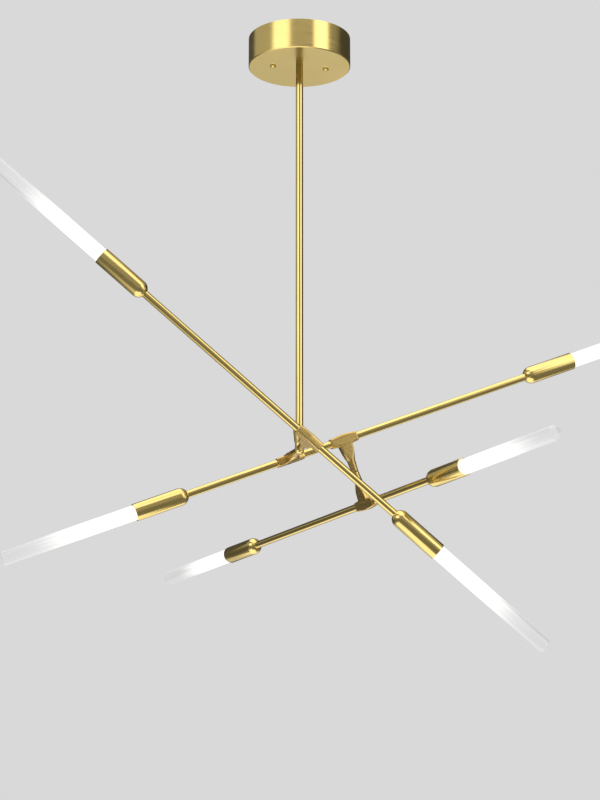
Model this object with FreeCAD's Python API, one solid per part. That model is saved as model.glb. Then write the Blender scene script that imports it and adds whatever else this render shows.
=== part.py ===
import FreeCAD, Part
import math
import os
from FreeCAD import Vector as V

# Three-arm articulated ceiling light with six glass rods.
# Millimetres. +Z is up, the origin is the centre of the canopy rim on the ceiling plane,
# and the light hangs down to -Z. The photograph was taken from -Y, looking along +Y.

# ---- canopy -------------------------------------------------------------------------
canopy_d = 133.35
canopy_h = 39.4
canopy_wall = 1.6
canopy_edge = 1.0
canopy_screw_spacing = 69.85
canopy_screw_turn = 9.0
canopy_screw_d = 4.0
canopy_screw_head_d = 7.6
canopy_screw_head_h = 2.6
canopy_screw_rim_h = 1.0
screw_hole_clearance = 0.4

# ---- mounting strap on the ceiling box ----------------------------------------------
strap_length = 104.0
strap_width = 17.0
strap_t = 2.0
box_hole_spacing = 88.9
box_hole_d = 4.8
strap_centre_hole_d = 12.0
ground_screw_offset = 17.0
ground_screw_d = 4.0
ground_screw_head_d = 7.5
ground_screw_head_h = 2.2

# ---- driver -------------------------------------------------------------------------
driver_length = 74.0
driver_width = 26.0
driver_h = 21.0
driver_offset = 33.0
driver_corner_r = 2.5

# ---- stem ---------------------------------------------------------------------------
rod_d = 9.5
rod_bore_d = 6.9
nipple_d = 6.8
nipple_bore_d = 4.0
nipple_above_floor = 12.0
nipple_in_stem = 14.0
locknut_across = 13.0
locknut_h = 3.5
nut_washer_d = 18.0
nut_washer_t = 1.2
stem_length = 497.8
coupling_top_d = 16.0
coupling_low_d = 12.8
coupling_h = 16.5
coupling_seat = 7.5
coupling_neck_h = 3.6
coupling_edge = 0.8

# ---- swivel hub and swivel studs ----------------------------------------------------
hub_d = 11.4
hub_above_axis = 7.0
hub_below_axis = 7.0
hub_edge = 1.4
hub_boss_reach = 10.2
swivel_neck_d = 9.0
stud_d = 6.0
stud_bore_d = 3.4
stud_head_d = 7.4
stud_head_h = 2.6
stud_thread_depth = 6.0
stud_top_depth = 3.6
stud_shoulder = 6.0
washer_t = 0.8
running_gap = 0.05
head_gap = 0.3

# ---- saddle brackets (the flared T-shaped pieces that grip the rods) ------------------
saddle_length = 37.0
saddle_mid_d = 16.0
saddle_end_d = 12.0
saddle_flat_w = 11.4
saddle_reach = 43.0
web_low_w = 17.2
web_taper = 0.14
web_flare_r = 5.0
web_flare_start = 3.0
neck_low_at = 13.0
neck_low_d = 20.0
neck_break_at = 28.0
neck_break_d = 11.0

# ---- arms ---------------------------------------------------------------------------
arm_a_span = 430.4
arm_b_span = 504.4
arm_c_span = 430.4
lamp_plane_turn = 12.8
arm_a_tilt = -39.6
arm_b_tilt = 21.8
arm_a_saddle_at = 64.7
arm_b_hub_saddle_at = -99.0
arm_b_link_saddle_at = -23.2
arm_c_saddle_at = 64.0
link_roll = 5.9
arm_c_swing = 71.3

# ---- lamp holders and glass rods ------------------------------------------------------
holder_d = 22.4
holder_length = 61.3
holder_wall = 1.2
holder_cup_depth = 42.0
holder_rim_r = 0.4
rod_in_holder = 13.0
wire_hole_d = 5.0
glass_d = 19.1
glass_length = 178.0
glass_tip_edge = 2.0
glass_spigot_d = 16.6
glass_spigot_length = 20.0
glass_sink = 4.0
sleeve_gap = 0.1
glass_lip_gap = 0.35
led_base_h = 7.0
led_lens_d = 12.0
led_lens_h = 3.0

ROD_R = rod_d / 2
HOLDER_R = holder_d / 2
NECK_R = swivel_neck_d / 2
STUD_BORE_R = stud_d / 2 + running_gap
HEAD_POCKET_R = stud_head_d / 2 + running_gap * 2
LINK_LENGTH = 2 * saddle_reach + washer_t
HUB_TO_ROD = hub_boss_reach + washer_t + saddle_reach

os.makedirs("parts", exist_ok=True)


def unit(v):
    w = V(v)
    w.normalize()
    return w


def to_frame(shape, origin, x_axis, z_axis):
    """Moves a shape drawn at the origin so that its X and Z lie on the given axes."""
    y_axis = z_axis.cross(x_axis)
    turn = FreeCAD.Rotation(x_axis, y_axis, z_axis, "ZXY")
    moved = shape.copy()
    moved.Placement = FreeCAD.Placement(origin, turn)
    return moved


def save(name, shape):
    shape.exportStep("parts/" + name + ".step")


def group(shapes):
    return Part.makeCompound(shapes)


def cyl(r, h, base=V(0, 0, 0), axis=V(0, 0, 1)):
    return Part.makeCylinder(r, h, base, axis)


def tube(r_out, r_in, h, base=V(0, 0, 0), axis=V(0, 0, 1)):
    return cyl(r_out, h, base, axis).cut(cyl(r_in, h, base, axis))


# ---- canopy pieces ------------------------------------------------------------------
def screw_places():
    turn = math.radians(canopy_screw_turn)
    reach = canopy_screw_spacing / 2
    return [V(side * reach * math.cos(turn), side * reach * math.sin(turn), 0) for side in (-1, 1)]


def canopy_cup():
    r = canopy_d / 2
    body = cyl(r, canopy_h, V(0, 0, -canopy_h))
    rim = [e for e in body.Edges if abs(e.BoundBox.ZMax + canopy_h) < 0.01 and e.BoundBox.XLength > r]
    body = body.makeChamfer(canopy_edge, rim)
    body = body.cut(cyl(r - canopy_wall, canopy_h, V(0, 0, canopy_wall - canopy_h)))
    body = body.cut(cyl(nipple_d / 2 + running_gap * 2, canopy_h, V(0, 0, -canopy_h)))
    for place in screw_places():
        hole = cyl((canopy_screw_d + screw_hole_clearance) / 2, canopy_h, place - V(0, 0, canopy_h))
        body = body.cut(hole)
    return body


STRAP_BOTTOM = -strap_t
FLOOR_TOP = canopy_wall - canopy_h


def mounting_strap():
    end_r = strap_width / 2
    straight = strap_length - strap_width
    bar = Part.makeBox(straight, strap_width, strap_t, V(-straight / 2, -end_r, STRAP_BOTTOM))
    for side in (-1, 1):
        bar = bar.fuse(cyl(end_r, strap_t, V(side * straight / 2, 0, STRAP_BOTTOM)))
    bar = bar.removeSplitter()
    for side in (-1, 1):
        place = V(side * box_hole_spacing / 2, 0, STRAP_BOTTOM)
        bar = bar.cut(cyl(box_hole_d / 2, strap_t, place))
    bar = bar.cut(cyl(strap_centre_hole_d / 2, strap_t, V(0, 0, STRAP_BOTTOM)))
    bar = bar.cut(cyl(ground_screw_d / 2 + running_gap, strap_t, V(ground_screw_offset, 0, STRAP_BOTTOM)))
    turned = bar.copy()
    turned.rotate(V(0, 0, 0), V(0, 0, 1), canopy_screw_turn)
    r = canopy_screw_d / 2 + running_gap
    tapped = [cyl(r, strap_t, place + V(0, 0, STRAP_BOTTOM)) for place in screw_places()]
    return turned.cut(group(tapped))


def canopy_screws():
    made = []
    head_r = canopy_screw_head_d / 2
    for place in screw_places():
        base = place - V(0, 0, canopy_h)
        rim = cyl(head_r, canopy_screw_rim_h, base - V(0, 0, canopy_screw_rim_h))
        crown_h = canopy_screw_head_h - canopy_screw_rim_h
        crown = Part.makeCone(head_r - crown_h, head_r, crown_h, base - V(0, 0, canopy_screw_head_h))
        shank = cyl(canopy_screw_d / 2, canopy_h, base)
        made.append(rim.fuse([crown, shank]).removeSplitter())
    return group(made)


def ground_screw():
    head = cyl(ground_screw_head_d / 2, ground_screw_head_h, V(0, 0, STRAP_BOTTOM - ground_screw_head_h))
    screw = head.fuse(cyl(ground_screw_d / 2, strap_t, V(0, 0, STRAP_BOTTOM)))
    screw = screw.removeSplitter()
    screw.translate(V(ground_screw_offset, 0, 0))
    screw.rotate(V(0, 0, 0), V(0, 0, 1), canopy_screw_turn)
    return screw


def led_driver():
    box = Part.makeBox(driver_length, driver_width, driver_h)
    upright = [e for e in box.Edges if e.BoundBox.ZLength > driver_h / 2]
    box = box.makeFillet(driver_corner_r, upright)
    box.translate(V(-driver_length / 2, driver_offset - driver_width / 2, FLOOR_TOP))
    return box


# ---- stem pieces --------------------------------------------------------------------
STEM_BOTTOM = -canopy_h - stem_length
COUPLING_BOTTOM = STEM_BOTTOM + coupling_seat - coupling_h
HUB_TOP = COUPLING_BOTTOM - washer_t
HUB_Z = HUB_TOP - hub_above_axis


def stem_tube():
    return tube(ROD_R, rod_bore_d / 2, stem_length, V(0, 0, STEM_BOTTOM))


def stem_nipple():
    low = -canopy_h - nipple_in_stem
    high = FLOOR_TOP + nipple_above_floor
    return tube(nipple_d / 2, nipple_bore_d / 2, high - low, V(0, 0, low))


def hexagon(across, height, base):
    r = across / math.sqrt(3)
    angles = [math.radians(60 * k) for k in range(6)]
    corners = [base + V(r * math.cos(a), r * math.sin(a), 0) for a in angles]
    return Part.Face(Part.makePolygon(corners + corners[:1])).extrude(V(0, 0, height))


def nut_washer():
    return tube(nut_washer_d / 2, nipple_d / 2 + running_gap, nut_washer_t, V(0, 0, FLOOR_TOP))


def nipple_locknut():
    base = V(0, 0, FLOOR_TOP + nut_washer_t)
    return hexagon(locknut_across, locknut_h, base).cut(cyl(nipple_d / 2 + running_gap, locknut_h, base))


def stem_coupling():
    body = Part.makeCone(coupling_low_d / 2, coupling_top_d / 2, coupling_h, V(0, 0, COUPLING_BOTTOM))
    ends = [e for e in body.Edges if e.BoundBox.ZLength < 0.01]
    body = body.makeChamfer(coupling_edge, ends)
    body = body.cut(cyl(ROD_R + running_gap, coupling_seat, V(0, 0, STEM_BOTTOM)))
    pocket_h = coupling_h - coupling_seat - coupling_neck_h
    body = body.cut(cyl(HEAD_POCKET_R, pocket_h, V(0, 0, COUPLING_BOTTOM + coupling_neck_h)))
    return body.cut(cyl(STUD_BORE_R, coupling_neck_h, V(0, 0, COUPLING_BOTTOM)))


def swivel_stud(head_at, tail_at):
    """Hollow headed stud on +Z. The head starts at head_at and the shank runs down to tail_at."""
    stud = cyl(stud_head_d / 2, stud_head_h, V(0, 0, head_at))
    stud = stud.fuse(cyl(stud_d / 2, head_at - tail_at, V(0, 0, tail_at))).removeSplitter()
    return stud.cut(cyl(stud_bore_d / 2, head_at + stud_head_h - tail_at, V(0, 0, tail_at)))


def washer(base, axis):
    return tube(NECK_R, STUD_BORE_R, washer_t, base, axis)


def swivel_hub():
    body = cyl(hub_d / 2, hub_above_axis + hub_below_axis, V(0, 0, -hub_below_axis))
    low = [e for e in body.Edges if abs(e.BoundBox.ZMax + hub_below_axis) < 0.01 and e.BoundBox.XLength > 1]
    body = body.makeChamfer(hub_edge, low)
    body = body.fuse(cyl(NECK_R, 2 * hub_boss_reach, V(0, -hub_boss_reach, 0), V(0, 1, 0))).removeSplitter()
    body = body.cut(cyl(STUD_BORE_R, 2 * hub_boss_reach, V(0, -hub_boss_reach, 0), V(0, 1, 0)))
    return body.cut(cyl(STUD_BORE_R, hub_above_axis, V(0, 0, 0)))


# ---- saddle bracket -----------------------------------------------------------------
def mirrored(points):
    """The points (x, z) followed by their mirror images, back to the start."""
    return points + [(-x, z) for x, z in reversed(points)]


def saddle_bar():
    """Barrel round the rod, widest at its middle. Its flats are cut later."""
    half = saddle_length / 2
    mid = saddle_mid_d / 2
    end = saddle_end_d / 2
    low = Part.makeCone(end, mid, half, V(-half, 0, 0), V(1, 0, 0))
    return low.fuse(Part.makeCone(mid, end, half, V(0, 0, 0), V(1, 0, 0)))


def saddle_web():
    """Plate with a flared foot at the bar, tapering up the neck. It is wider than its flats."""
    edge = web_low_w / 2
    foot = web_flare_start
    top = foot + web_flare_r
    taper_end = edge - web_taper * (neck_break_at - top)
    bend = web_flare_r * (1 - math.sqrt(0.5))
    wide = V(edge + web_flare_r, 0, foot)
    flare = Part.Arc(wide, V(edge + bend, 0, foot + bend), V(edge, 0, top)).toShape()
    right = [(edge, top), (taper_end, neck_break_at), (taper_end, saddle_reach)]
    path = [V(x, 0, z) for x, z in mirrored(right)]
    lines = [Part.makeLine(a, b) for a, b in zip(path, path[1:])]
    lines += [flare, flare.mirror(V(0, 0, 0), V(1, 0, 0))]
    corner = [(wide.x, foot), (wide.x, 0)]
    path = [V(x, 0, z) for x, z in mirrored(corner)]
    lines += [Part.makeLine(a, b) for a, b in zip(path, path[1:])]
    outline = Part.Face(Part.Wire(Part.__sortEdges__(lines)))
    outline.translate(V(0, -saddle_mid_d / 2, 0))
    return outline.extrude(V(0, saddle_mid_d, 0))


def saddle_envelope():
    """Round limit of the neck: a trumpet of two cones over a block that leaves the bar whole."""
    block_corner = V(-saddle_length / 2, -saddle_mid_d / 2, 0)
    block = Part.makeBox(saddle_length, saddle_mid_d, neck_low_at, block_corner)
    flare_h = neck_break_at - neck_low_at
    flare = Part.makeCone(neck_low_d / 2, neck_break_d / 2, flare_h, V(0, 0, neck_low_at))
    neck_h = saddle_reach - neck_break_at
    neck = Part.makeCone(neck_break_d / 2, NECK_R, neck_h, V(0, 0, neck_break_at))
    return block.fuse([flare, neck])


def saddle(stud_socket):
    """Drawn with its rod along X and its neck up +Z. The bar is a barrel with two flats, the
    flats run on over the web, and the web tapers into a round neck that ends at the swivel.
    stud_socket 'head' holds the swivel stud's head, 'thread' takes the stud's end."""
    half = saddle_length / 2
    top = saddle_reach
    slab = Part.makeBox(saddle_length, saddle_flat_w, saddle_mid_d / 2 + top,
                        V(-half, -saddle_flat_w / 2, -saddle_mid_d / 2))
    web = saddle_web().common(saddle_envelope())
    body = saddle_bar().fuse(web).common(slab).removeSplitter()
    body = body.cut(cyl(ROD_R + running_gap, saddle_length, V(-half, 0, 0), V(1, 0, 0)))
    if stud_socket == "head":
        body = body.cut(cyl(STUD_BORE_R, stud_shoulder, V(0, 0, top - stud_shoulder)))
        return body.cut(cyl(HEAD_POCKET_R, top - stud_shoulder, V(0, 0, 0)))
    thread_at = top - stud_thread_depth - head_gap
    body = body.cut(cyl(stud_bore_d / 2, top, V(0, 0, 0)))
    return body.cut(cyl(STUD_BORE_R, top - thread_at, V(0, 0, thread_at)))


# ---- lamp: holder, module, sleeve, glass ----------------------------------------------
CUP_FLOOR = holder_length - holder_cup_depth
CUP_R = HOLDER_R - holder_wall
GLASS_SHOULDER = holder_length - glass_sink
SPIGOT_START = GLASS_SHOULDER - glass_spigot_length
SLEEVE_OUT_R = CUP_R - sleeve_gap


def lamp_holder():
    """Cup with a domed closed end. The dome's centre is the origin and the rim faces +X."""
    dome = Part.Arc(V(0, 0, -HOLDER_R), V(HOLDER_R * math.sqrt(0.5), 0, -HOLDER_R * math.sqrt(0.5)),
                    V(HOLDER_R, 0, 0)).toShape()
    rim = V(HOLDER_R, 0, holder_length - holder_rim_r)
    lines = [
        dome,
        Part.makeLine(V(HOLDER_R, 0, 0), rim),
        Part.makeLine(rim, V(HOLDER_R - holder_rim_r, 0, holder_length)),
        Part.makeLine(V(HOLDER_R - holder_rim_r, 0, holder_length), V(0, 0, holder_length)),
        Part.makeLine(V(0, 0, holder_length), V(0, 0, -HOLDER_R)),
    ]
    body = Part.Face(Part.Wire(Part.__sortEdges__(lines))).revolve(V(0, 0, 0), V(0, 0, 1), 360)
    body = body.cut(cyl(CUP_R, holder_cup_depth, V(0, 0, CUP_FLOOR)))
    body = body.cut(cyl(ROD_R + running_gap, rod_in_holder, V(0, 0, -HOLDER_R)))
    return body.cut(cyl(wire_hole_d / 2, CUP_FLOOR + HOLDER_R, V(0, 0, -HOLDER_R)))


def led_module():
    """Round heat sink with its lens, seated on the floor of the cup."""
    base = cyl(CUP_R - sleeve_gap, led_base_h, V(0, 0, CUP_FLOOR))
    return base.fuse(cyl(led_lens_d / 2, led_lens_h, V(0, 0, CUP_FLOOR + led_base_h))).removeSplitter()


def glass_sleeve():
    inner = glass_spigot_d / 2 + sleeve_gap
    return tube(SLEEVE_OUT_R, inner, glass_spigot_length - glass_lip_gap, V(0, 0, SPIGOT_START))


def glass_rod():
    """Glass rod with a thinner end for the sleeve and a bevelled tip."""
    r = glass_d / 2
    body = cyl(glass_spigot_d / 2, glass_spigot_length, V(0, 0, SPIGOT_START))
    straight = glass_length + glass_sink - glass_tip_edge
    body = body.fuse(cyl(r, straight, V(0, 0, GLASS_SHOULDER)))
    tip = Part.makeCone(r, r - glass_tip_edge, glass_tip_edge, V(0, 0, GLASS_SHOULDER + straight))
    return body.fuse(tip).removeSplitter()


LAMP_PIECES = {
    "holder": lamp_holder(),
    "led_module": led_module(),
    "glass_sleeve": glass_sleeve(),
    "glass_rod": glass_rod(),
}


def build_arm(letter, centre, along, span):
    """Rod and two lamps. along points from lamp 1 to lamp 2, span joins the dome centres."""
    side = unit(along.cross(V(0, 0, 1)))
    length = span - 2 * (HOLDER_R - rod_in_holder)
    pipe = tube(ROD_R, rod_bore_d / 2, length, V(0, 0, -length / 2))
    save("arm_rod_" + letter, to_frame(pipe, centre, side, along))
    for number, direction in ((1, along.negative()), (2, along)):
        spot = centre + direction * (span / 2)
        for name, piece in LAMP_PIECES.items():
            save("%s_%s%d" % (name, letter, number), to_frame(piece, spot, side, direction))


# ---- canopy and stem ------------------------------------------------------------------
save("canopy_cup", canopy_cup())
save("mounting_strap", mounting_strap())
save("canopy_screws", canopy_screws())
save("ground_screw", ground_screw())
save("led_driver", led_driver())
save("stem_nipple", stem_nipple())
save("nut_washer", nut_washer())
save("nipple_locknut", nipple_locknut())
save("stem_tube", stem_tube())
save("stem_coupling", stem_coupling())

# ---- hub ------------------------------------------------------------------------------
turn = math.radians(lamp_plane_turn)
level = V(math.cos(turn), math.sin(turn), 0)
front = V(math.sin(turn), -math.cos(turn), 0)
up = V(0, 0, 1)
hub_centre = V(0, 0, HUB_Z)

save("swivel_hub", to_frame(swivel_hub(), hub_centre, level, up))
top_head = COUPLING_BOTTOM + coupling_neck_h + head_gap
save("stem_swivel_stud", swivel_stud(top_head, HUB_TOP - stud_top_depth))
save("stem_washer", tube(hub_d / 2, STUD_BORE_R, washer_t, V(0, 0, HUB_TOP)))

head_start = stud_shoulder + head_gap
cross_stud = swivel_stud(hub_boss_reach + washer_t + head_start, hub_boss_reach - stud_thread_depth)
for name, way in (("a", front), ("b", front.negative())):
    save("hub_stud_" + name, to_frame(cross_stud, hub_centre, up.cross(way), way))
    save("hub_washer_" + name, washer(hub_centre + way * hub_boss_reach, way))

# ---- arm A, in front of the stem --------------------------------------------------------
tilt_a = math.radians(arm_a_tilt)
along_a = level * math.cos(tilt_a) + up * math.sin(tilt_a)
saddle_a_at = hub_centre + front * HUB_TO_ROD
build_arm("a", saddle_a_at - along_a * arm_a_saddle_at, along_a, arm_a_span)
save("saddle_a", to_frame(saddle("head"), saddle_a_at, along_a, front.negative()))

# ---- arm B, behind the stem, which also carries arm C -----------------------------------
tilt_b = math.radians(arm_b_tilt)
along_b = level * math.cos(tilt_b) + up * math.sin(tilt_b)
saddle_b_at = hub_centre - front * HUB_TO_ROD
centre_b = saddle_b_at - along_b * arm_b_hub_saddle_at
build_arm("b", centre_b, along_b, arm_b_span)
down_b = unit(along_b * along_b.dot(up) - up)
roll = math.radians(link_roll)
link = down_b * math.cos(roll) + along_b.cross(down_b) * math.sin(roll)
link_start = centre_b + along_b * arm_b_link_saddle_at
save("saddle_b_hub", to_frame(saddle("head"), saddle_b_at, along_b, front))
save("saddle_b_link", to_frame(saddle("thread"), link_start, along_b, link))

# ---- arm C, under arm B -----------------------------------------------------------------
link_end = link_start + link * LINK_LENGTH
swing = math.radians(arm_c_swing)
along_c = along_b * math.cos(swing) + link.cross(along_b) * math.sin(swing)
build_arm("c", link_end - along_c * arm_c_saddle_at, along_c, arm_c_span)
save("saddle_c", to_frame(saddle("head"), link_end, along_c, link.negative()))
link_washer_at = link_start + link * saddle_reach
link_up = link.negative()
stud_foot = link_end + link_up * saddle_reach
save("link_washer", washer(link_washer_at, link))
stud = swivel_stud(head_start, -washer_t - stud_thread_depth)
save("link_stud", to_frame(stud, stud_foot, link_up.cross(along_c), link))

print("hub", hub_centre)
print("saddles", saddle_a_at, saddle_b_at, link_start, link_end)
print("directions", along_a, along_b, along_c, "link", link)
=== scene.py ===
import math

import bmesh
import bpy
from mathutils import Matrix, Vector


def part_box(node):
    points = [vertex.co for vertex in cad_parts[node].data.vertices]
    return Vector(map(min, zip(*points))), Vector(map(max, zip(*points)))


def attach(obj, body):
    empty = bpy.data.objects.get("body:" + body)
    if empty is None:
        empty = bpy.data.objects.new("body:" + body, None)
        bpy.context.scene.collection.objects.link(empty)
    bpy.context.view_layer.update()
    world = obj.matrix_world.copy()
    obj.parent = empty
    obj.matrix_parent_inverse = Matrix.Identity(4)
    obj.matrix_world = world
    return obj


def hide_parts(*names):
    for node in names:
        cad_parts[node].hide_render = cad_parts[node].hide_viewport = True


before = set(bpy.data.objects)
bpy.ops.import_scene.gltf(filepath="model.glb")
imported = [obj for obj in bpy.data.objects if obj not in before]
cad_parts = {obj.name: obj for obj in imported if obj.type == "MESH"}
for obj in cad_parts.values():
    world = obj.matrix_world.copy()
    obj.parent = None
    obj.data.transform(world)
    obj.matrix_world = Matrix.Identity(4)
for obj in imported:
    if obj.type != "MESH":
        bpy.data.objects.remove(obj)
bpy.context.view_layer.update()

# ---- sizes in metres ---------------------------------------------------------------------------
CANOPY_R = 0.066675
CANOPY_H = 0.0394
CANOPY_WALL = 0.0016
CANOPY_EDGE = 0.0010
ROD_R = 0.00475
ROD_BORE_R = 0.00345
ROD_IN_HOLDER = 0.013
HOLDER_R = 0.0112
HOLDER_LENGTH = 0.0613
HOLDER_WALL = 0.0012
HOLDER_CUP_DEPTH = 0.042
HOLDER_RIM_R = 0.0004
# The glass ends 0.4 mm short of the solid, so that its round tip stays inside the solid's box.
GLASS_R = 0.00955
GLASS_LENGTH = 0.1776
GLASS_TIP_EDGE = 0.0020
GLASS_TIP_SOFT = 0.0004
GLASS_SINK = 0.004
GLASS_SPIGOT_R = 0.0083
GLASS_SPIGOT_LENGTH = 0.020
# Each arm's length between the centres of its two domes.
SPANS = {"a": 0.4304, "b": 0.5044, "c": 0.4304}

# The brackets: a barrel with two flats and a nearly flat back, a flat web and a round neck.
SADDLE_HALF = 0.0185
SADDLE_FLAT = 0.0057
SADDLE_BACK_MID = 0.0078
SADDLE_BACK_END = 0.0059
SADDLE_BACK_RIDGE = 0.0012
SADDLE_ROUND = 0.0019
SADDLE_END_R = 0.0008
SADDLE_CROWN = 0.0003
SADDLE_CROWN_REACH = 0.004
SADDLE_BORE_R = 0.0048
SADDLE_REACH = 0.043
BARREL_STATIONS = (0.85, 0.7, 0.55, 0.4, 0.28, 0.18, 0.09)
WEB_EDGE = 0.0086
WEB_TAPER = 0.14
WEB_FLARE_R = 0.005
WEB_FLARE_START = 0.003
WEB_ROUND = 0.0012
WEB_INSET = 0.00002
NECK_LOW, NECK_LOW_R = 0.013, 0.010
NECK_BREAK, NECK_BREAK_R = 0.028, 0.0055
NECK_END_R = 0.0045
NECK_EDGE = 0.0003
STUD_BORE_R = 0.00305
HEAD_POCKET_R = 0.0039
HEAD_POCKET_START = 0.030
STUD_SHOULDER = 0.006
# Each bracket's arm, its place along the rod and the bracket that its neck points at.
SADDLES = {
    "saddle_a": ("a", 0.0647, "saddle_b_hub"),
    "saddle_b_hub": ("b", -0.0990, "saddle_a"),
    "saddle_b_link": ("b", -0.0232, "saddle_c"),
    "saddle_c": ("c", 0.0640, "saddle_b_link"),
}

# Outlines of (height over the piece's lower face, radius).
COUPLING = [
    (0.0, STUD_BORE_R), (0.0, 0.0056), (0.0003, 0.0060), (0.0008, 0.00645), (0.0014, 0.00652),
    (0.0151, 0.00783), (0.0157, 0.00784), (0.0162, 0.0075), (0.0165, 0.0071),
    (0.0165, SADDLE_BORE_R), (0.0090, SADDLE_BORE_R), (0.0090, HEAD_POCKET_R),
    (0.0036, HEAD_POCKET_R), (0.0036, STUD_BORE_R), (0.0, STUD_BORE_R),
]
WASHER = [
    (0.00002, 0.0031), (0.00002, 0.0055), (0.00015, 0.00562), (0.00062, 0.00562),
    (0.00075, 0.0055), (0.00075, 0.0031), (0.00002, 0.0031),
]

# ---- camera of the photograph ------------------------------------------------------------------
FOCAL_PX = 2344.5
FRAME_LONG_SIDE_PX = 800.0
SENSOR_MM = 36.0
CAMERA_AT = Vector((0.0007, -2.8557, -1.2576))
CAMERA_PITCH = math.radians(15.03)
CLIP_START, CLIP_END = 0.05, 200.0

# ---- colours (scene linear) and finishes -------------------------------------------------------
BACKGROUND = (0.694, 0.694, 0.694, 1.0)
WORLD_LIGHT, WORLD_STRENGTH = (0.8, 0.8, 0.8, 1.0), 0.6
BRASS = (0.84, 0.64, 0.225, 1.0)
BRASS_DEEP = (0.72, 0.53, 0.160, 1.0)
WHOLE = (1.0, 1.0, 1.0)
# Grain scale along and twice across the axis, roughness, bump, edge softening, colour factor. The
# brackets' colour factor below 1 is painted shade: it makes the same brass darker on them.
BRASS_FINISHES = {
    "rod": ((40.0, 1500.0, 1500.0), 0.10, 0.006, 0.0, WHOLE),
    "cup": ((30.0, 1500.0, 1500.0), 0.18, 0.02, 0.0, WHOLE),
    # Painted shade: the brackets' colour factor darkens the same brass.
    "saddle": ((60.0, 700.0, 700.0), 0.30, 0.012, 0.0004, (0.86, 0.79, 0.76)),
    "canopy": ((1500.0, 14.0, 14.0), 0.19, 0.045, 0.0, WHOLE),
    "hub": ((500.0, 500.0, 500.0), 0.24, 0.06, 0.0005, WHOLE),
}
CLOUD_SCALES = (9.0, 9.0, 9.0)
GRAIN_DETAIL, CLOUD_DETAIL = 3.0, 2.0
GRAIN_SHARE = 0.5
TINT_RANGE = (0.1, 0.85)
ROUGH_RANGE = (0.25, 0.75)
ROUGHER, SMOOTHER = 0.08, 0.06
BUMP_DISTANCE = 0.0003
BEVEL_SAMPLES = 8
# Colour, metallic, roughness.
PLAIN_FINISHES = {
    "module_metal": ((0.75, 0.75, 0.74, 1.0), 1.0, 0.35),
    "sleeve_rubber": ((0.85, 0.84, 0.80, 1.0), 0.0, 0.6),
    "washer_nylon": ((0.10, 0.08, 0.05, 1.0), 0.0, 0.5),
    "strap_zinc": ((0.62, 0.63, 0.65, 1.0), 1.0, 0.38),
    "driver_plastic": ((0.86, 0.86, 0.84, 1.0), 0.0, 0.45),
    "ground_green": ((0.03, 0.28, 0.08, 1.0), 0.0, 0.35),
}
PLAIN_GRAIN_SCALES = (400.0, 400.0, 400.0)
PLAIN_SHADE = 0.82
PLAIN_ROUGH_RANGE, PLAIN_SPREAD = (0.2, 0.8), 0.05
# The glass: where its light and its frost fade out, in metres past the cup's rim, and by how much
# the streaks move that; its sheen at grazing angles, in streaks and where it is frosted.
LIT_FADE = (0.052, 0.132)
FROST_FADE = (0.090, 0.165)
STREAK_SCALES = (14.0, 420.0, 420.0)
STREAK_WANDER = 0.05
STREAK_RANGE, STREAK_SHEEN = (0.45, 0.75), 0.22
FROST_SHEEN = 0.26
EDGE_BLEND, EDGE_RANGE = 0.32, (0.30, 0.95)
EDGE_LOW, EDGE_HIGH, EDGE_SHEEN = 0.04, 0.80, 0.75
GLASS_CLEAR = (0.997, 0.997, 0.997, 1.0)
SHEEN_COLOUR, SHEEN_STRENGTH = (1.0, 1.0, 1.0, 1.0), 0.93
GLASS_ROUGHNESS, GLASS_IOR, GLASS_REFLECTS = 0.12, 1.40, 0.15
LIT_COLOUR, LIT_STRENGTH = (1.0, 0.985, 0.95, 1.0), 1.25

UP = Vector((0, 0, 1))
ORIGIN = Vector((0, 0, 0))
NO_RADIUS = 1e-7
NEARLY_UPRIGHT = 0.01
SHARP_ANGLE = math.radians(38)
ROD_SEGMENTS, LIGHT_ROD_SEGMENTS, CUP_SEGMENTS, CANOPY_SEGMENTS = 48, 64, 72, 160
DOME_STEPS, RIM_STEPS = 14, 4


# ---- node helpers ------------------------------------------------------------------------------
def new_material(name):
    mat = bpy.data.materials.new(name)
    mat.use_nodes = True
    tree = mat.node_tree
    tree.nodes.clear()
    out = tree.nodes.new("ShaderNodeOutputMaterial")
    return mat, tree, out


def add(tree, kind, **settings):
    made = tree.nodes.new(kind)
    for key, value in settings.items():
        setattr(made, key, value)
    return made


def math_node(tree, operation, first, second=None):
    made = add(tree, "ShaderNodeMath", operation=operation)
    for socket, value in zip(made.inputs, (first, second)):
        if value is None:
            continue
        if isinstance(value, (int, float)):
            socket.default_value = value
        else:
            tree.links.new(value, socket)
    return made.outputs[0]


def smooth_between(tree, value, low, high, to_low=0.0, to_high=1.0):
    made = add(tree, "ShaderNodeMapRange", interpolation_type="SMOOTHSTEP")
    tree.links.new(value, made.inputs["Value"])
    made.inputs["From Min"].default_value = low
    made.inputs["From Max"].default_value = high
    made.inputs["To Min"].default_value = to_low
    made.inputs["To Max"].default_value = to_high
    return made.outputs["Result"]


def dot_with(tree, vector, direction):
    made = add(tree, "ShaderNodeVectorMath", operation="DOT_PRODUCT")
    tree.links.new(vector, made.inputs[0])
    made.inputs[1].default_value = direction
    return made.outputs["Value"]


def stretched_noise(tree, directions, scales, detail=GRAIN_DETAIL):
    """Noise in a frame of three directions, each with its own scale."""
    place = add(tree, "ShaderNodeTexCoord").outputs["Object"]
    joined = add(tree, "ShaderNodeCombineXYZ")
    for socket, direction, scale in zip(joined.inputs, directions, scales):
        along = dot_with(tree, place, direction)
        tree.links.new(math_node(tree, "MULTIPLY", along, scale), socket)
    noise = add(tree, "ShaderNodeTexNoise")
    noise.inputs["Scale"].default_value = 1.0
    noise.inputs["Detail"].default_value = detail
    tree.links.new(joined.outputs[0], noise.inputs["Vector"])
    return noise.outputs["Fac"]


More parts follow.
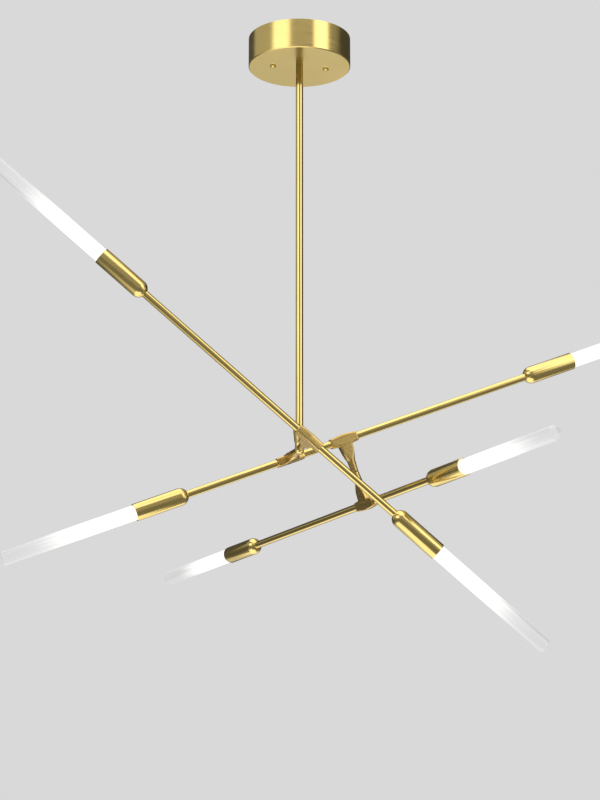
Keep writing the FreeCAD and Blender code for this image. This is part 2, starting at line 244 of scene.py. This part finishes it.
def tint_between(tree, factor, dark, light, socket):
    tint = add(tree, "ShaderNodeMix", data_type="RGBA")
    tint.inputs["A"].default_value = dark
    tint.inputs["B"].default_value = light
    tree.links.new(factor, tint.inputs["Factor"])
    tree.links.new(tint.outputs["Result"], socket)


def emission(tree, colour, strength):
    made = add(tree, "ShaderNodeEmission")
    made.inputs["Color"].default_value = colour
    made.inputs["Strength"].default_value = strength
    return made.outputs["Emission"]


def mix_shaders(tree, factor, first, second):
    mix = add(tree, "ShaderNodeMixShader")
    tree.links.new(factor, mix.inputs["Fac"])
    tree.links.new(first, mix.inputs[1])
    tree.links.new(second, mix.inputs[2])
    return mix.outputs["Shader"]


def frame_of(along):
    """The direction itself and two across it."""
    side = along.cross(UP)
    if side.length < NEARLY_UPRIGHT:
        side = Vector((1, 0, 0))
    side.normalize()
    return along, side, along.cross(side)


# ---- materials ---------------------------------------------------------------------------------
def brushed_brass(name, finish, along):
    scales, roughness, bump, round_edge, factors = BRASS_FINISHES[finish]
    mat, tree, out = new_material(name)
    shader = add(tree, "ShaderNodeBsdfPrincipled")
    shader.inputs["Metallic"].default_value = 1.0
    directions = frame_of(along)
    grain = stretched_noise(tree, directions, scales)
    cloud = stretched_noise(tree, directions, CLOUD_SCALES, CLOUD_DETAIL)
    shade = math_node(tree, "ADD", math_node(tree, "MULTIPLY", grain, GRAIN_SHARE), cloud)
    # A colour factor below 1 darkens the brass: painted shade on the brackets.
    deep, light = [(*(channel * factor for channel, factor in zip(colour, factors)), 1.0)
                   for colour in (BRASS_DEEP, BRASS)]
    tint_between(tree, smooth_between(tree, shade, *TINT_RANGE), deep, light,
                 shader.inputs["Base Color"])
    rough = smooth_between(tree, grain, *ROUGH_RANGE, roughness - SMOOTHER, roughness + ROUGHER)
    tree.links.new(rough, shader.inputs["Roughness"])
    ridge = add(tree, "ShaderNodeBump")
    ridge.inputs["Strength"].default_value = bump
    ridge.inputs["Distance"].default_value = BUMP_DISTANCE
    tree.links.new(grain, ridge.inputs["Height"])
    if round_edge:
        rounded = add(tree, "ShaderNodeBevel", samples=BEVEL_SAMPLES)
        rounded.inputs["Radius"].default_value = round_edge
        tree.links.new(rounded.outputs["Normal"], ridge.inputs["Normal"])
    tree.links.new(ridge.outputs["Normal"], shader.inputs["Normal"])
    tree.links.new(shader.outputs["BSDF"], out.inputs["Surface"])
    return mat


def etched_glass(letter, centre, along, rim_at):
    """Lit white at the cup, fading to clear glass at the tip, by distance from the cup's rim."""
    mat, tree, out = new_material("etched_glass_" + letter)
    place = add(tree, "ShaderNodeTexCoord").outputs["Object"]
    from_centre = math_node(tree, "SUBTRACT", dot_with(tree, place, along), centre.dot(along))
    past_rim = math_node(tree, "SUBTRACT", math_node(tree, "ABSOLUTE", from_centre), rim_at)
    streaks = stretched_noise(tree, frame_of(along), STREAK_SCALES, CLOUD_DETAIL)
    wander = math_node(tree, "MULTIPLY", math_node(tree, "SUBTRACT", streaks, 0.5), STREAK_WANDER)
    reach = math_node(tree, "ADD", past_rim, wander)
    lit = smooth_between(tree, reach, *LIT_FADE, 1.0, 0.0)
    frost = smooth_between(tree, reach, *FROST_FADE, 1.0, 0.0)

    through = add(tree, "ShaderNodeBsdfTransparent")
    through.inputs["Color"].default_value = GLASS_CLEAR
    facing = add(tree, "ShaderNodeLayerWeight")
    facing.inputs["Blend"].default_value = EDGE_BLEND
    edge = smooth_between(tree, facing.outputs["Facing"], *EDGE_RANGE, EDGE_LOW, EDGE_HIGH)
    edge_part = math_node(tree, "MULTIPLY", edge, EDGE_SHEEN)
    streak_part = math_node(tree, "MULTIPLY", smooth_between(tree, streaks, *STREAK_RANGE),
                            STREAK_SHEEN)
    frost_part = math_node(tree, "MULTIPLY", frost, FROST_SHEEN)
    sheen_part = math_node(tree, "ADD", edge_part,
                           math_node(tree, "ADD", streak_part, frost_part))
    body = mix_shaders(tree, math_node(tree, "MINIMUM", sheen_part, 1.0),
                       through.outputs["BSDF"], emission(tree, SHEEN_COLOUR, SHEEN_STRENGTH))

    surface = add(tree, "ShaderNodeBsdfGlossy")
    surface.inputs["Roughness"].default_value = GLASS_ROUGHNESS
    fresnel = add(tree, "ShaderNodeFresnel")
    fresnel.inputs["IOR"].default_value = GLASS_IOR
    mirror_part = math_node(tree, "MULTIPLY", fresnel.outputs["Fac"], GLASS_REFLECTS)
    clear = mix_shaders(tree, mirror_part, body, surface.outputs["BSDF"])
    whole = mix_shaders(tree, lit, clear, emission(tree, LIT_COLOUR, LIT_STRENGTH))
    tree.links.new(whole, out.inputs["Surface"])
    return mat


def plain_with_grain(name):
    colour, metallic, roughness = PLAIN_FINISHES[name]
    mat, tree, out = new_material(name)
    shader = add(tree, "ShaderNodeBsdfPrincipled")
    shader.inputs["Metallic"].default_value = metallic
    axes = (Vector((1, 0, 0)), Vector((0, 1, 0)), UP)
    grain = stretched_noise(tree, axes, PLAIN_GRAIN_SCALES)
    darker = tuple(PLAIN_SHADE * channel for channel in colour[:3]) + (1.0,)
    tint_between(tree, grain, darker, colour, shader.inputs["Base Color"])
    rough = smooth_between(tree, grain, *PLAIN_ROUGH_RANGE,
                           roughness - PLAIN_SPREAD, roughness + PLAIN_SPREAD)
    tree.links.new(rough, shader.inputs["Roughness"])
    tree.links.new(shader.outputs["BSDF"], out.inputs["Surface"])
    return mat


plain = {name: plain_with_grain(name) for name in PLAIN_FINISHES}


# ---- mesh helpers ------------------------------------------------------------------------------
def link_object(name, data):
    obj = bpy.data.objects.new(name, data)
    bpy.context.scene.collection.objects.link(obj)
    return obj


def smooth_object(name, mesh):
    mesh.shade_smooth()
    mesh.set_sharp_from_angle(angle=SHARP_ANGLE)
    return link_object(name, mesh)


def lathe(name, outline, origin, along, segments=64):
    """Full turn of (distance, radius) pairs about the axis through origin."""
    along, side, other = frame_of(Vector(along).normalized())
    points, rings = [], []
    for distance, radius in outline:
        centre = origin + along * distance
        if radius < NO_RADIUS:
            rings.append([len(points)])
            points.append(centre)
            continue
        rings.append([len(points) + k for k in range(segments)])
        for k in range(segments):
            turn = 2 * math.pi * k / segments
            points.append(centre + (side * math.cos(turn) + other * math.sin(turn)) * radius)
    faces = []
    for low, high in zip(rings, rings[1:]):
        for k in range(segments):
            n = (k + 1) % segments
            if len(low) == 1:
                faces.append((low[0], high[k], high[n]))
            elif len(high) == 1:
                faces.append((low[k], high[0], low[n]))
            else:
                faces.append((low[k], high[k], high[n], low[n]))
    mesh = bpy.data.meshes.new(name)
    mesh.from_pydata([tuple(p) for p in points], [], faces)
    mesh.update()
    return smooth_object(name, mesh)


def arc_points(centre, radius, start, end, steps):
    """Points of an arc in the (distance, radius) plane, angles in degrees from +distance."""
    made = []
    for k in range(steps + 1):
        a = math.radians(start + (end - start) * k / steps)
        made.append((centre[0] + radius * math.cos(a), centre[1] + radius * math.sin(a)))
    return made


def rounded_section(half_u, half_v, corner, per_corner=7, per_side=5):
    """Rounded rectangle as (u, v) pairs, counter-clockwise, always with as many points."""
    u, v = half_u - corner, half_v - corner
    arcs = [arc_points(centre, corner, start, start + 90, per_corner - 1)
            for centre, start in (((u, v), 0), ((-u, v), 90), ((-u, -v), 180), ((u, -v), 270))]
    made = []
    for arc, after in zip(arcs, arcs[1:] + arcs[:1]):
        made += arc
        for k in range(1, per_side + 1):
            t = k / (per_side + 1)
            made.append(tuple(a + (b - a) * t for a, b in zip(arc[-1], after[0])))
    return made


def circle_like(section, radius):
    """The section's points pushed out or in to a circle."""
    return [(u * radius / math.hypot(u, v), v * radius / math.hypot(u, v)) for u, v in section]


def circle_section(radius):
    """A circle with as many points as a rounded rectangle has."""
    return circle_like(rounded_section(0.005, 0.005, 0.002), radius)


def bar_rings(end_steps=5):
    """Barrel round the rod, with flat sides, a slightly crowned back and an open bore."""
    stations = []
    for k in range(end_steps + 1):
        a = math.radians(90 * k / end_steps)
        stations.append((SADDLE_HALF - SADDLE_END_R + SADDLE_END_R * math.cos(a),
                         SADDLE_END_R * (1 - math.sin(a))))
    stations += [(SADDLE_HALF * part, 0.0) for part in BARREL_STATIONS] + [(0.0, 0.0)]
    stations += [(-x, inset) for x, inset in reversed(stations[:-1])]
    rings = []
    for x, inset in stations:
        to_middle = 1 - math.hypot(x, SADDLE_BACK_RIDGE) / SADDLE_HALF
        back = SADDLE_BACK_END + (SADDLE_BACK_MID - SADDLE_BACK_END) * to_middle
        ring = []
        for y, z in rounded_section(SADDLE_FLAT - inset, back - inset, SADDLE_ROUND):
            crown = SADDLE_CROWN * (1 - (y / SADDLE_FLAT) ** 2)
            rise = math.copysign(crown, z) * min(1.0, abs(z) / SADDLE_CROWN_REACH)
            ring.append((x, y, z + rise))
        rings.append(ring)
    bore = circle_section(SADDLE_BORE_R)
    first = [(SADDLE_HALF, y, z) for y, z in bore]
    last = [(-SADDLE_HALF, y, z) for y, z in bore]
    return [first] + rings + [last, first]


def web_rings(flare_steps=8, web_steps=20, neck_steps=6):
    """Flared foot, tapering flat web and round trumpet neck with the stud's bore in its end."""
    flat = SADDLE_FLAT - WEB_INSET
    top = WEB_FLARE_START + WEB_FLARE_R
    rings = []
    for k in range(flare_steps + 1):
        a = math.radians(90 * k / flare_steps)
        z = top - WEB_FLARE_R * math.cos(a)
        half = WEB_EDGE + WEB_FLARE_R * (1 - math.sin(a))
        rings.append([(x, y, z) for x, y in rounded_section(half, flat, WEB_ROUND)])
    for k in range(1, web_steps + 1):
        z = top + (NECK_BREAK - top) * k / web_steps
        section = rounded_section(WEB_EDGE - WEB_TAPER * (z - top), flat, WEB_ROUND)
        if z > NECK_LOW:
            limit = NECK_LOW_R + (NECK_BREAK_R - NECK_LOW_R) * (z - NECK_LOW) / (NECK_BREAK - NECK_LOW)
            round_part = circle_like(section, limit)
            section = [p if math.hypot(*p) < limit else q for p, q in zip(section, round_part)]
        rings.append([(x, y, z) for x, y in section])
    outline = []
    for k in range(1, neck_steps + 1):
        z = NECK_BREAK + (SADDLE_REACH - NECK_EDGE - NECK_BREAK) * k / neck_steps
        outline.append((z, NECK_BREAK_R + (NECK_END_R - NECK_BREAK_R) * k / neck_steps))
    shoulder = SADDLE_REACH - STUD_SHOULDER
    outline += [(SADDLE_REACH, NECK_END_R - NECK_EDGE), (SADDLE_REACH, STUD_BORE_R),
                (shoulder, STUD_BORE_R), (shoulder, HEAD_POCKET_R),
                (HEAD_POCKET_START, HEAD_POCKET_R)]
    for z, radius in outline:
        rings.append([(x, y, z) for x, y in circle_section(radius)])
    return rings


def loft(name, shells, place, along, neck):
    """One mesh of shells: lists of rings of (x, y, z), x along the rod and z up the neck."""
    side = neck.cross(along)
    points, faces = [], []
    for rings in shells:
        closed = rings[0] == rings[-1]
        if closed:
            rings = rings[:-1]
        start, n, count = len(points), len(rings[0]), len(rings)
        for ring in rings:
            points += [tuple(place + along * x + side * y + neck * z) for x, y, z in ring]
        for i in range(count if closed else count - 1):
            low, high = start + i * n, start + ((i + 1) % count) * n
            for k in range(n):
                m = (k + 1) % n
                faces.append((low + k, low + m, high + m, high + k))
        if not closed:
            faces.append(tuple(start + k for k in reversed(range(n))))
            faces.append(tuple(start + (count - 1) * n + k for k in range(n)))
    mesh = bpy.data.meshes.new(name)
    mesh.from_pydata(points, [], faces)
    outward = bmesh.new()
    outward.from_mesh(mesh)
    bmesh.ops.recalc_face_normals(outward, faces=outward.faces)
    outward.to_mesh(mesh)
    outward.free()
    return smooth_object(name, mesh)


def dress(obj, body, material, *nodes):
    obj.data.materials.append(material)
    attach(obj, body)
    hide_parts(*nodes)


def middle(node):
    low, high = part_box(node)
    return (low + high) / 2


def repaint(node, material):
    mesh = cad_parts[node].data
    if not mesh.materials:
        mesh.materials.append(material)
    for k in range(len(mesh.materials)):
        mesh.materials[k] = material


# ---- the three arms ----------------------------------------------------------------------------
def holder_outline():
    cup_floor = HOLDER_LENGTH - HOLDER_CUP_DEPTH
    inner = HOLDER_R - HOLDER_WALL
    dome_start = math.degrees(math.asin(ROD_R / HOLDER_R))
    dome = arc_points((0.0, 0.0), HOLDER_R, 180 - dome_start, 90, DOME_STEPS)
    rim_centre = (HOLDER_LENGTH - HOLDER_RIM_R, HOLDER_R - HOLDER_RIM_R)
    rim = arc_points(rim_centre, HOLDER_RIM_R, 90, 0, RIM_STEPS)
    return dome + rim + [(HOLDER_LENGTH, inner), (cup_floor, inner), (cup_floor, 0.0)]


def glass_outline():
    tip = HOLDER_LENGTH + GLASS_LENGTH
    shoulder = HOLDER_LENGTH - GLASS_SINK
    start = shoulder - GLASS_SPIGOT_LENGTH
    soft = GLASS_TIP_SOFT
    return [
        (start, 0.0), (start, GLASS_SPIGOT_R), (shoulder, GLASS_SPIGOT_R), (shoulder, GLASS_R),
        (tip - GLASS_TIP_EDGE - soft, GLASS_R), (tip - GLASS_TIP_EDGE + soft, GLASS_R - soft),
        (tip - soft, GLASS_R - GLASS_TIP_EDGE + soft), (tip, GLASS_R - GLASS_TIP_EDGE - soft),
        (tip, 0.0),
    ]


def arm_line(letter):
    """The arm's centre and its direction, from the boxes of its two holders."""
    first, second = middle("holder_%s1" % letter), middle("holder_%s2" % letter)
    return (first + second) / 2, (second - first).normalized()


def saddle_place(node):
    letter, at, _ = SADDLES[node]
    centre, along = arm_line(letter)
    return centre + along * at


def build_saddle(node, material):
    letter, _, other = SADDLES[node]
    _, along = arm_line(letter)
    place = saddle_place(node)
    neck = saddle_place(other) - place
    neck = (neck - along * neck.dot(along)).normalized()
    name = node.replace("saddle", "bracket")
    piece = loft(name, [bar_rings(), web_rings()], place, along, neck)
    dress(piece, "arm_" + letter, material, node)


def build_arm(letter):
    body = "arm_" + letter
    centre, along = arm_line(letter)
    half = SPANS[letter] / 2
    lengthwise = brushed_brass("brass_rod_" + letter, "rod", along)
    turned = brushed_brass("brass_cup_" + letter, "cup", along)
    satin_painted_shade = brushed_brass("brass_saddle_" + letter, "saddle", along)
    glass = etched_glass(letter, centre, along, half + HOLDER_LENGTH)
    reach = half - HOLDER_R + ROD_IN_HOLDER
    rod = [(-reach, ROD_BORE_R), (-reach, ROD_R), (reach, ROD_R), (reach, ROD_BORE_R)]
    tube = lathe("rod_" + letter, rod, centre, along, ROD_SEGMENTS)
    dress(tube, body, lengthwise, "arm_rod_" + letter)
    for number, way in ((1, -along), (2, along)):
        tag = "%s%d" % (letter, number)
        spot = centre + way * half
        cup = lathe("cup_" + tag, holder_outline(), spot, way, CUP_SEGMENTS)
        dress(cup, body, turned, "holder_" + tag)
        light_rod = lathe("light_rod_" + tag, glass_outline(), spot, way, LIGHT_ROD_SEGMENTS)
        dress(light_rod, body, glass, "glass_rod_" + tag)
        repaint("led_module_" + tag, plain["module_metal"])
        repaint("glass_sleeve_" + tag, plain["sleeve_rubber"])
    for node in SADDLES:
        if node.startswith("saddle_" + letter):
            build_saddle(node, satin_painted_shade)


for arm in SPANS:
    build_arm(arm)

# ---- canopy, stem, coupling and the washer that the hub turns on -------------------------------
canopy_brass = brushed_brass("brass_canopy", "canopy", UP)
stem_brass = brushed_brass("brass_stem", "rod", UP)
hub_brass = brushed_brass("brass_hub", "hub", UP)


def canopy_outline():
    inner, floor_top = CANOPY_R - CANOPY_WALL, CANOPY_WALL - CANOPY_H
    return [
        (-CANOPY_H, ROD_BORE_R), (-CANOPY_H, CANOPY_R - CANOPY_EDGE),
        (-CANOPY_H + CANOPY_EDGE, CANOPY_R), (0.0, CANOPY_R), (0.0, inner),
        (floor_top, inner), (floor_top, ROD_BORE_R), (-CANOPY_H, ROD_BORE_R),
    ]


def stem_outline():
    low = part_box("stem_tube")[0].z
    return [(low, ROD_BORE_R), (low, ROD_R), (-CANOPY_H, ROD_R), (-CANOPY_H, ROD_BORE_R)]


def lower_face(node):
    return Vector((0, 0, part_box(node)[0].z))


canopy = lathe("canopy", canopy_outline(), ORIGIN, UP, CANOPY_SEGMENTS)
dress(canopy, "fixture", canopy_brass, "canopy_cup")
stem = lathe("stem", stem_outline(), ORIGIN, UP, ROD_SEGMENTS)
dress(stem, "fixture", stem_brass, "stem_tube")
coupling = lathe("coupling", COUPLING, lower_face("stem_coupling"), UP)
dress(coupling, "fixture", hub_brass, "stem_coupling")
washer = lathe("thrust_washer", WASHER, lower_face("stem_washer"), UP)
dress(washer, "hub", plain["washer_nylon"], "stem_washer")

for material, nodes in (
    (plain["strap_zinc"], ("mounting_strap", "nipple_locknut", "nut_washer")),
    (plain["ground_green"], ("ground_screw",)),
    (plain["driver_plastic"], ("led_driver",)),
    (plain["washer_nylon"], ("hub_washer_a", "hub_washer_b", "link_washer")),
    (hub_brass, ("stem_nipple", "canopy_screws", "swivel_hub", "stem_swivel_stud",
                 "hub_stud_a", "hub_stud_b", "link_stud")),
):
    for node in nodes:
        repaint(node, material)


# ---- studio ------------------------------------------------------------------------------------
def pale_where_seen(tree, out, plain_shader):
    """The background's colour for camera, glossy and transmission rays, plain_shader else."""
    path = add(tree, "ShaderNodeLightPath")
    seen = math_node(tree, "MAXIMUM", path.outputs["Is Camera Ray"], path.outputs["Is Glossy Ray"])
    seen = math_node(tree, "MAXIMUM", seen, path.outputs["Is Transmission Ray"])
    in_world = out.bl_idname == "ShaderNodeOutputWorld"
    pale = add(tree, "ShaderNodeBackground" if in_world else "ShaderNodeEmission")
    pale.inputs["Color"].default_value = BACKGROUND
    pale.inputs["Strength"].default_value = 1.0
    tree.links.new(mix_shaders(tree, seen, plain_shader, pale.outputs[0]), out.inputs["Surface"])


world = bpy.data.worlds.new("studio")
bpy.context.scene.world = world
world.use_nodes = True
world.node_tree.nodes.clear()
world_out = add(world.node_tree, "ShaderNodeOutputWorld")
world_plain = add(world.node_tree, "ShaderNodeBackground")
world_plain.inputs["Color"].default_value = WORLD_LIGHT
world_plain.inputs["Strength"].default_value = WORLD_STRENGTH
pale_where_seen(world.node_tree, world_out, world_plain.outputs[0])

# The floor of a tall studio, far under the light.
FLOOR_Z = -9.0
FLOOR_HALF = 60.0
floor_mesh = bpy.data.meshes.new("floor")
floor_corners = [(FLOOR_HALF * x, FLOOR_HALF * y, FLOOR_Z)
                 for x, y in ((-1, -1), (1, -1), (1, 1), (-1, 1))]
floor_mesh.from_pydata(floor_corners, [], [(0, 1, 2, 3)])
floor = link_object("floor", floor_mesh)
floor_mat, floor_tree, floor_out = new_material("floor")
floor_plain = add(floor_tree, "ShaderNodeBsdfDiffuse")
floor_plain.inputs["Color"].default_value = BACKGROUND
pale_where_seen(floor_tree, floor_out, floor_plain.outputs[0])
floor_mesh.materials.append(floor_mat)

# A tent that shows only in reflections: bright above and below, dim walls at eye level with two
# bright windows to the left and right of the camera, and dark parts at both sides and behind.
TENT_R = 6.0
TENT_CENTRE = Vector((0.0, 0.0, -0.5))
TENT_RINGS, TENT_STEPS = 24, 48
WALL_LEVEL = 0.20
# Azimuth from and to (0 is the camera's side, + to the right), elevation from and to, level and
# soft edge, in degrees. Each panel lies over those before it.
TENT_PANELS = [
    (-130, -62, 8, 40, 0.46, 14),
    (-190, -122, -12, 46, 0.08, 12),
    (92, 190, -14, 48, 0.06, 12),
    (-26, 24, 10, 34, 0.34, 10),
    (-26, 38, -10, 16, 0.34, 10),
    (-140, -80, -28, 0, 0.11, 12),
    (-128, -58, -46, -34, 0.50, 10),
    (-190, -140, -34, -12, 0.62, 8),
    (140, 190, -34, -14, 0.72, 8),
    (-190, -140, -60, -32, 1.30, 8),
    (132, 190, -60, -32, 1.30, 8),
    (60, 100, -16, 12, 0.80, 10),
    (44, 72, -10, 16, 1.30, 10),
    (-62, -22, 4, 33, 1.90, 12),
    (33, 68, 10, 36, 1.90, 10),
    (-24, 66, 34, 60, 1.60, 8),
    (66, 104, 30, 56, 0.55, 10),
    (-190, 190, 54, 100, 1.60, 12),
    (80, 172, 42, 70, 0.32, 8),
    (-178, -24, -100, -46, 1.50, 8),
    (-190, 190, -100, -60, 1.50, 8),
]


def between(tree, value, low, high, soft):
    rise = smooth_between(tree, value, low - soft / 2, low + soft / 2)
    fall = smooth_between(tree, value, high - soft / 2, high + soft / 2, 1.0, 0.0)
    return math_node(tree, "MULTIPLY", rise, fall)


def tent_level(tree):
    """Brightness by direction from the tent's centre, panel over panel."""
    place = add(tree, "ShaderNodeTexCoord").outputs["Object"]
    way = add(tree, "ShaderNodeVectorMath", operation="NORMALIZE")
    tree.links.new(place, way.inputs[0])
    split = add(tree, "ShaderNodeSeparateXYZ")
    tree.links.new(way.outputs["Vector"], split.inputs[0])
    toward = math_node(tree, "MULTIPLY", split.outputs["Y"], -1.0)
    turned = math_node(tree, "ARCTAN2", split.outputs["X"], toward)
    raised = math_node(tree, "ARCSINE", split.outputs["Z"])
    azimuth, elevation = [math_node(tree, "MULTIPLY", angle, math.degrees(1.0))
                          for angle in (turned, raised)]
    level = WALL_LEVEL
    for az_low, az_high, el_low, el_high, brightness, soft in TENT_PANELS:
        mask = math_node(tree, "MULTIPLY", between(tree, azimuth, az_low, az_high, soft),
                         between(tree, elevation, el_low, el_high, soft))
        blend = add(tree, "ShaderNodeMix", data_type="FLOAT")
        tree.links.new(mask, blend.inputs["Factor"])
        if isinstance(level, float):
            blend.inputs["A"].default_value = level
        else:
            tree.links.new(level, blend.inputs["A"])
        blend.inputs["B"].default_value = brightness
        level = blend.outputs["Result"]
    return level


def tent_mesh():
    """A globe of quads, closed by triangles at both poles."""
    points = [(0.0, 0.0, -TENT_R), (0.0, 0.0, TENT_R)]
    for i in range(1, TENT_RINGS):
        rise = math.pi * i / TENT_RINGS - math.pi / 2
        flat, z = TENT_R * math.cos(rise), TENT_R * math.sin(rise)
        for k in range(TENT_STEPS):
            turn = 2 * math.pi * k / TENT_STEPS
            points.append((flat * math.cos(turn), flat * math.sin(turn), z))
    faces = []
    last = 2 + (TENT_RINGS - 2) * TENT_STEPS
    for k in range(TENT_STEPS):
        n = (k + 1) % TENT_STEPS
        faces += [(0, 2 + n, 2 + k), (1, last + k, last + n)]
        for i in range(TENT_RINGS - 2):
            low = 2 + i * TENT_STEPS
            high = low + TENT_STEPS
            faces.append((low + k, low + n, high + n, high + k))
    mesh = bpy.data.meshes.new("reflection_tent")
    mesh.from_pydata(points, [], faces)
    return mesh


tent = link_object("reflection_tent", tent_mesh())
tent.location = TENT_CENTRE
tent_mat, tent_tree, tent_out = new_material("reflection_tent")
tent_glow = add(tent_tree, "ShaderNodeEmission")
tent_tree.links.new(tent_level(tent_tree), tent_glow.inputs["Strength"])
tent_tree.links.new(tent_glow.outputs["Emission"], tent_out.inputs["Surface"])
tent.data.materials.append(tent_mat)
tent.visible_camera = False
tent.visible_diffuse = False
tent.visible_transmission = False
tent.visible_volume_scatter = False
tent.visible_shadow = False


LAMP_SIDE, LAMP_POWER = 2.4, 60.0
LAMP_TARGET = Vector((0, 0, -0.5))


def soft_lamp(name, place):
    data = bpy.data.lights.new(name, "AREA")
    data.shape = "SQUARE"
    data.size = LAMP_SIDE
    data.energy = LAMP_POWER
    lamp = link_object(name, data)
    lamp.location = place
    lamp.rotation_mode = "QUATERNION"
    lamp.rotation_quaternion = (LAMP_TARGET - place).to_track_quat("-Z", "Y")
    lamp.visible_camera = False
    lamp.visible_glossy = False


soft_lamp("left_window", Vector((-3.0, -3.0, 0.6)))
soft_lamp("right_window", Vector((3.0, -3.0, 0.6)))

# ---- camera ------------------------------------------------------------------------------------
camera_data = bpy.data.cameras.new("camera")
camera_data.sensor_fit = "AUTO"
camera_data.sensor_width = SENSOR_MM
camera_data.lens = FOCAL_PX / FRAME_LONG_SIDE_PX * SENSOR_MM
camera_data.clip_start = CLIP_START
camera_data.clip_end = CLIP_END
camera = link_object("camera", camera_data)
look = Matrix.Rotation(math.pi / 2 + CAMERA_PITCH, 4, "X")
camera.matrix_world = Matrix.Translation(CAMERA_AT) @ look
bpy.context.scene.camera = camera

bpy.context.scene.view_settings.view_transform = "Standard"
